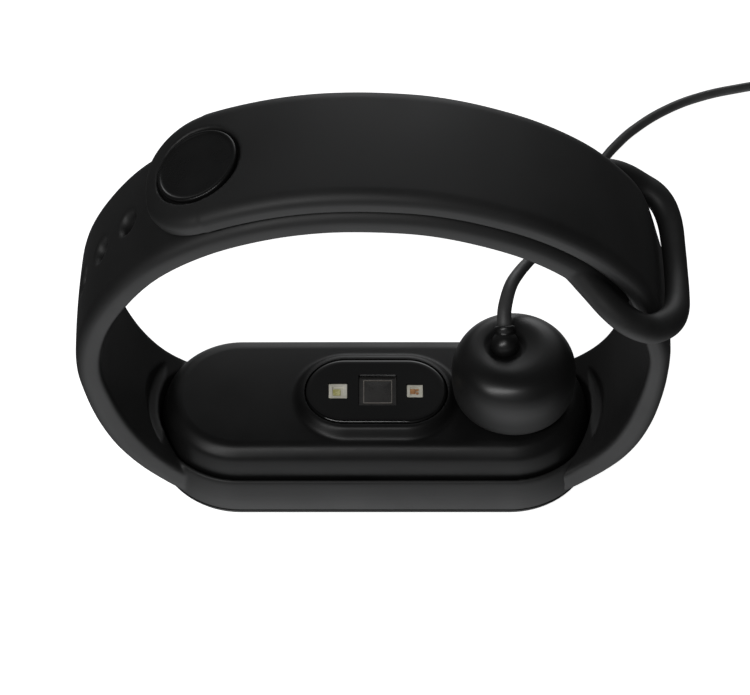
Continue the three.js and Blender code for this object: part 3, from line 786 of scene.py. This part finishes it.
def keeper_rings(count=110, sides=28):
    """Rod that leaves both edges of the hole arm's end and passes outside the stud arm.

    Its rails are oval and its bar is round; the far corner is fuller than the near one.
    """
    def side(y, full):
        return [
            (17.3, y * 0.6, 39.8), (18.8, y * 0.65, 38.6), (20.2, y * 0.73, 37.4),
            (21.5, y * (0.81 + 0.05 * full), 36.3), (22.8, y * (0.91 + 0.08 * full), 35.3),
            (24.1, y * (0.98 + 0.08 * full), 34.4), (25.4, y * (1 + 0.07 * full), 33.6),
            (26.6, y * (0.96 + 0.09 * full), 32.8), (27.85, y * (0.87 + 0.12 * full), 32.3),
            (28.8, y * (0.73 + 0.15 * full), 31.75), (29.4, y * (0.54 + 0.15 * full), 31.2),
            (29.65, y * (0.28 + 0.06 * full), 30.8),
        ]
    half = KEEPER["half"]
    path = Path([*side(-half, 0), (29.72, 0, 30.6), *reversed(side(half, 1))])
    out_of_arm = Vector((0.54, 0, 0.84))
    rings = []
    for i in range(count + 1):
        p = path.point(i / count)
        across = out_of_arm.cross(path.tangent(i / count)).normalized()
        to_bar = math.sin(math.pi * i / count)
        rail = mix(KEEPER["root"], KEEPER["rail"], min(1, 2.5 * to_bar))
        tall = mix(rail, KEEPER["bar"], to_bar**6)
        wide = mix(mix(KEEPER["root"], KEEPER["wide"], smooth(0.1, 0.45, to_bar)), KEEPER["bar"], to_bar**6)
        turn = [2 * math.pi * k / sides for k in range(sides)]
        rings.append([p + across * (wide * math.cos(a)) + out_of_arm * (tall * math.sin(a)) for a in turn])
    return rings


def prism(name, length, width, low, high):
    return loft(name, [stadium(length, width, low), stadium(length, width, high)])


def drill(u, profile, lift, sides=48):
    """A turned cutter or button that stands on the hole arm, along its outward direction."""
    p, n = off(hole_arm, u, -1)
    obj = lathe("drill", profile, sides=sides, sharp=35)
    turn = Vector((0, 0, 1)).rotation_difference(n).to_matrix().to_4x4()
    obj.data.transform(Matrix.Translation((p + n * lift) * MM) @ turn)
    return obj


def cradle():
    """Belt round the tracker's waist with a slightly full face."""
    insets = [
        (0.5, 2.68), (0.4, 2.85), (0.26, 3.2), (0.13, 3.7), (0.04, 4.3), (0.0, 5.0), (0.04, 5.7), (0.12, 6.3),
        (0.24, 6.9), (0.36, 7.35), (0.47, 7.6), (0.58, 7.68),
    ]
    rings = [stadium(CRADLE["length"] - 2 * i, CRADLE["width"] - 2 * i, z) for i, z in insets]
    return loft("cradle", rings)


def capsule_cutter():
    return prism("room", CRADLE["open_length"], CRADLE["open_width"], -5.0, 12.4)


def arm_cutters():
    """Room for the tracker and for the shoulder above the cradle, and everything below the cradle."""
    ledge = prism("ledge", 47.5, 19.2, 9.3, 17.0)
    under = rounded_box("under", (-60, -20, -20), (60, 20, CRADLE["low"] - 0.2), 0.5)
    return [capsule_cutter(), ledge, under]


def hole_cutter(k):
    """Drill for one adjusting hole, flared at both faces of the arm; hole 0 takes the stud."""
    place = STUD_AT - k * HOLE["pitch"] / hole_arm.length
    t = thick_inner(place)
    r = HOLE["radius"]
    profile = [
        (0, -2), (r + 0.5, -2), (r + 0.5, -0.3), (r + 0.28, 0.06), (r, 0.45), (r, t - 0.95),
        (r + 0.1, t - 0.5), (r + 0.34, t - 0.14), (r + 0.75, t + 0.12), (r + 0.9, 6), (0, 6),
    ]
    return drill(place, profile, 0)


inner_places = [HOLE_ARM_END * k / 120 for k in range(121)]
inner_arm = loft("inner_arm", band_rings(hole_arm, -1, inner_places, wide_at, thick_inner))
holes = [hole_cutter(k) for k in range(-HOLE["each_side"], HOLE["each_side"] + 1)]
carve(inner_arm, *arm_cutters(), *holes)
rim = carve(cradle(), capsule_cutter())
strap = moulded(inner_arm, [rim, loft("keeper", keeper_rings())], voxel=0.17, passes=7)
strap.name = "strap_moulding"
dress(strap, "strap_rubber", "strap", stands_for=("strap_cradle", "strap_hole_arm"))


def stud_arm():
    """Arm over the hole arm, with a rounded free tip, a seat for the stud's disc and a bore for its shaft."""
    tip = over_place(TIP_AT)
    length = stud_path.length
    half = ARM["width"] / 2
    corner, thin_end, fine_end = 6.2, 0.9, 6.5

    def width(u):
        left = max(0.0, (tip - u) * length)
        if left >= corner:
            return wide_at(u)
        return 2 * (half - corner + corner * math.sqrt(max(0.0, 1 - (1 - left / corner) ** 2)) * 0.98 + 0.02)

    def sink(u):
        left = max(0.0, (tip - u) * length)
        return 1.0 if left >= thin_end else max(0.12, math.sqrt(max(0.0, 1 - (1 - left / thin_end) ** 2)))

    near = [fine_end * (1 - (k / 40)) ** 1.6 for k in range(1, 41)]
    places = [(tip - fine_end / length) * k / 130 for k in range(131)] + [tip - d / length for d in near]
    arm = loft("stud_arm", band_rings(stud_path, 1, places, width, thick_outer, sink))
    top = OVER + ARM["outer"]
    wide = STUD["seat"]
    seat = [(0, -0.95), (wide, -0.95), (wide, -0.25), (wide + 0.65, 0.35), (wide + 0.65, 3), (0, 3)]
    bore_wide = STUD["shaft"] + 0.3
    bore = [(0, -5), (bore_wide, -5), (bore_wide, 1), (0, 1)]
    carve(arm, *arm_cutters(), drill(STUD_AT, rounded(seat, 0.3), top), drill(STUD_AT, bore, top))
    return moulded(arm, [], voxel=0.16, passes=6)


outer_arm = stud_arm()
outer_arm.name = "strap_stud_arm_skin"
dress(outer_arm, "strap_rubber", None, ("strap_stud_arm", "strap_clasp_tip"))
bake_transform(outer_arm)

stud_top = OVER + ARM["outer"]
stud_profile = [
    (0, -stud_top + 0.5), (0.51, -stud_top + 0.5), (STUD["head"], -stud_top + 0.9),
    (STUD["head"], -stud_top + 1.3), (STUD["shaft"], -stud_top + 1.7), (STUD["shaft"], -0.75), (4.0, -0.72),
    (STUD["disc"], -0.5), (STUD["disc"], -0.22), (4.14, -0.1), (4.02, -0.05), (3.9, -0.06), (3.78, -0.14),
    (3.6, -0.17), (0, -0.1),
]
stud = drill(STUD_AT, rounded(stud_profile, 0.07, 4), stud_top, 96)
stud.name = "stud_button"
dress(stud, "stud_plastic", "clasp", stands_for=("clasp_stud",))


# ---- tracker ----
# Points of the shell's upper edge: how far in from the side, 0, and the height.
CASE_EDGE = [
    (0, 0, 7.6), (0.16, 0, 8.4), (0.36, 0, 9.2), (0.6, 0, 9.9), (0.86, 0, 10.42), (1.2, 0, 10.82),
    (1.62, 0, 11.08), (2.2, 0, 11.2),
]


def rear_case(steps=48, straight=110):
    """Shell with a steep soft edge; the sensor bump rises out of its middle."""
    length, width, back = TRACKER["back_length"], TRACKER["back_width"], TRACKER["back"]
    edge = Path(CASE_EDGE)
    fall_along, fall_across, bump_high = 0.0004, 0.006, TRACKER["top"] - back - 0.13

    def rise(x, y):
        bump = inside_stadium(x - BUMP["x"], y - BUMP["y"], BUMP["length"], BUMP["width"])
        high = smooth(-0.75, 0.42, bump)
        return mix(-fall_across * y * y - fall_along * x * x, bump_high, high)

    levels = [(0, z) for z in (2.85, 3.5, 5.5, 7.2)]
    levels += [(p.x, p.z) for p in (edge.point(k / 24) for k in range(25))]
    levels += [(2.2 + 0.2 * k, back) for k in range(1, 30)] + [(8.15, back), (8.28, back)]
    rings = []
    for inset, z in levels:
        ring = stadium(length - 2 * inset, width - 2 * inset, z, steps, straight)
        rings.append([(x, y, z + rise(x, y) * smooth(9.6, 11.0, z)) for x, y, z in ring])
    return loft("case", rings, zipped_at=steps // 2)


def window_ring(inset, z):
    """Outline of the sensor window, moved in from its edge."""
    length, width = BUMP["window_length"] - 2 * inset, BUMP["window_width"] - 2 * inset
    return stadium(length, width, z, x=BUMP["x"], y=BUMP["y"])


def pad_bore(side):
    """Well over one charging contact, wider at its mouth."""
    inner, mouth = CHARGE_PAD["radius"], CHARGE_PAD["radius"] + 0.3
    profile = [(0, 5), (inner, 5), (inner, 11.05), (mouth, 11.4), (mouth, 14), (0, 14)]
    x = PUCK["x"] + side * CHARGE_PAD["apart"] / 2
    return lathe("bore", rounded(profile, 0.1, 3), x, PUCK["y"], 48)


# The room inside the shell is narrower under its shoulder.
case = rear_case()
room = prism("room", 42.2, 14.2, -1, 9.0)
upper_room = prism("room", 37.6, 9.6, 8.5, 10.0)
opening = loft("room", [window_ring(-0.12, 5), window_ring(-0.12, 14)])
carve(case, room, upper_room, opening, pad_bore(-1), pad_bore(1))
crisp(case, 32)
case.name = "case_back"
dress(case, "case_plastic", "tracker", stands_for=("rear_case",))

FACE = TRACKER["top"]
LENS_EDGE = [
    (0, 11.2), (0, FACE - 0.3), (0.02, FACE - 0.2), (0.07, FACE - 0.1), (0.16, FACE - 0.03), (0.3, FACE),
    (0.6, FACE), (1.6, FACE), (3.9, FACE),
]
# Middle, half width and depth of the three pits under the window.
LIGHTS = {
    "left": (-3.84, -0.47, 1.0, 0.35),
    "detector": (0.28, -0.38, 2.0, 0.5),
    "right": (4.13, -0.47, 0.87, 0.35),
}
# Middle, counted from the package's, and half width of the dies in each light.
DIES = {
    "left": ("led_green", [(-0.12, -0.1, 0.4)]),
    "right": ("led_amber", [(-0.22, 0.02, 0.3), (0.25, 0.2, 0.14), (0.25, -0.22, 0.14)]),
}
window = loft("lens", [window_ring(inset, z) for inset, z in LENS_EDGE], 50)
carve(window, *[rounded_box("pit", (x - r, y - r, FACE - deep), (x + r, y + r, 13.5), 0.12, 0.02)
                for x, y, r, deep in LIGHTS.values()])
crisp(window, 32)
window.name = "sensor_lens_cover"
dress(window, "sensor_lens", "tracker", stands_for=("sensor_window",))


def block(name, x, y, half, low, high, corner, edge):
    return rounded_box(name, (x - half, y - half, low), (x + half, y + half, high), corner, edge)


def light(side):
    """Pale package with a square well, and the dies that lie in it."""
    x, y, half, deep = LIGHTS[side]
    half -= 0.04
    package = block(f"led_package_{side}", x, y, half, FACE - deep + 0.01, FACE - 0.09, 0.1, 0.05)
    carve(package, block("well", x, y, half * 0.62, FACE - 0.25, FACE + 0.1, 0.12, 0.03))
    crisp(package, 35)
    dress(package, "led_resin", "tracker", stands_for=(f"sensor_led_{side}",))
    finish, dies = DIES[side]
    for k, (dx, dy, s) in enumerate(dies):
        chip = block(f"led_die_{side}_{k + 1}", x + dx, y + dy, s, FACE - 0.24, FACE - 0.13, 0.08, 0.04)
        dress(chip, finish, "tracker")


def detector():
    """Dark glassy chip with a thin paler frame on it."""
    x, y, half, deep = LIGHTS["detector"]
    foot = FACE - deep
    chip = block("detector_chip", x, y, half - 0.05, foot + 0.01, foot + 0.15, 0.1, 0.03)
    dress(chip, "detector", "tracker", ("photodiode",))
    border = block("detector_border", x, y, 1.5, foot + 0.15, foot + 0.22, 0.08, 0.02)
    carve(border, block("hole", x, y, 1.4, foot, FACE, 0.06, 0.02))
    crisp(border, 35)
    dress(border, "detector_edge", "tracker")


light("left")
light("right")
detector()


def pill_rings(table):
    """Outlines of the front half from (how far in, how high)."""
    return [stadium(TRACKER["length"] - 2 * i, TRACKER["width"] - 2 * i, z) for i, z in table]


GLASS_EDGE = [
    (4.0, 0.0), (2.3, 0.0), (2.0, 0.03), (1.75, 0.13), (1.53, 0.3), (1.32, 0.55), (1.12, 0.85), (0.97, 1.1),
    (3.0, 1.1),
]
BEZEL_EDGE = [(0.8, 1.35), (0.62, 1.5), (0.36, 1.8), (0.15, 2.15), (0.04, 2.4), (0.02, 2.56), (0.1, 2.6)]
glass = loft("display_lens", pill_rings(GLASS_EDGE), 50)
dress(glass, "front_glass", "tracker", stands_for=("front_glass",))
bezel = loft("bezel", pill_rings(BEZEL_EDGE), 50)
carve(bezel, prism("hole", TRACKER["length"] - 4.6, TRACKER["width"] - 4.0, 0, 9))
crisp(bezel, 35)
dress(bezel, "case_plastic", "tracker", stands_for=("front_frame",))


# ---- charger ----
# Side of the puck cover: how far out from its radius, and how high above its foot.
PUCK_EDGE = [
    (-0.5, 0.1), (-0.34, 0.2), (-0.2, 0.5), (-0.1, 1.1), (-0.02, 2.0), (0, 2.9), (-0.06, 3.8), (-0.3, 4.75),
    (-0.75, 5.6), (-1.5, 6.28), (-2.7, 6.7),
]


def puck(sides=160, count=110):
    """Drum with soft shoulders; the ball of the cord sits in a steep hollow in a wider dip in its top."""
    low, top, radius = PUCK["low"], PUCK["top"], PUCK["radius"]
    side = [(radius + r, 0, low + h) for r, h in PUCK_EDGE]
    outline = Path([*side, (1.7, 0, top - 0.02), (0.001, 0, top)])
    rings = [[(0.001, low + 0.1)] * sides]
    rings += [[(p.x, p.z)] * sides for p in (outline.point(i / count) for i in range(count + 1))]
    placed = []
    for ring in rings:
        spots = []
        for j, (r, z) in enumerate(ring):
            a = 2 * math.pi * j / sides
            x = PUCK["x"] + r * math.cos(a)
            y = PUCK["y"] + r * math.sin(a)
            if z > low + 4.0:
                away = math.hypot(x - BALL["x"], y - BALL["y"])
                z -= 0.6 * (1 - smooth(0.6, 2.3, away)) + 0.4 * (1 - smooth(1.0, 4.2, away))
            spots.append((x, y, z))
        placed.append(spots)
    shell = loft("puck_cover", placed)
    room = lathe("room", [(0, low - 1), (radius - 1, low - 1), (radius - 1, low + 4.2), (0, low + 4.2)],
                 PUCK["x"], PUCK["y"])
    return crisp(carve(shell, room), 40)


shell = dress(puck(), "puck_plastic", "charger", stands_for=("puck_shell",))

# ---- finishes of the CAD nodes that stay ----
for row in frame["record"]["subparts"]:
    node = frame["nodes"][row["node"]]
    if not node.hide_render:
        node.data.materials.clear()
        node.data.materials.append(FINISH[row["material_slot"]])
for side in ("left", "right"):
    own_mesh(frame["nodes"][f"pin_spring_{side}"])
bevelled = frame["nodes"]["plug_shell"].modifiers.new("edge", "BEVEL")
bevelled.width, bevelled.segments, bevelled.limit_method = 0.12 * MM, 2, "ANGLE"
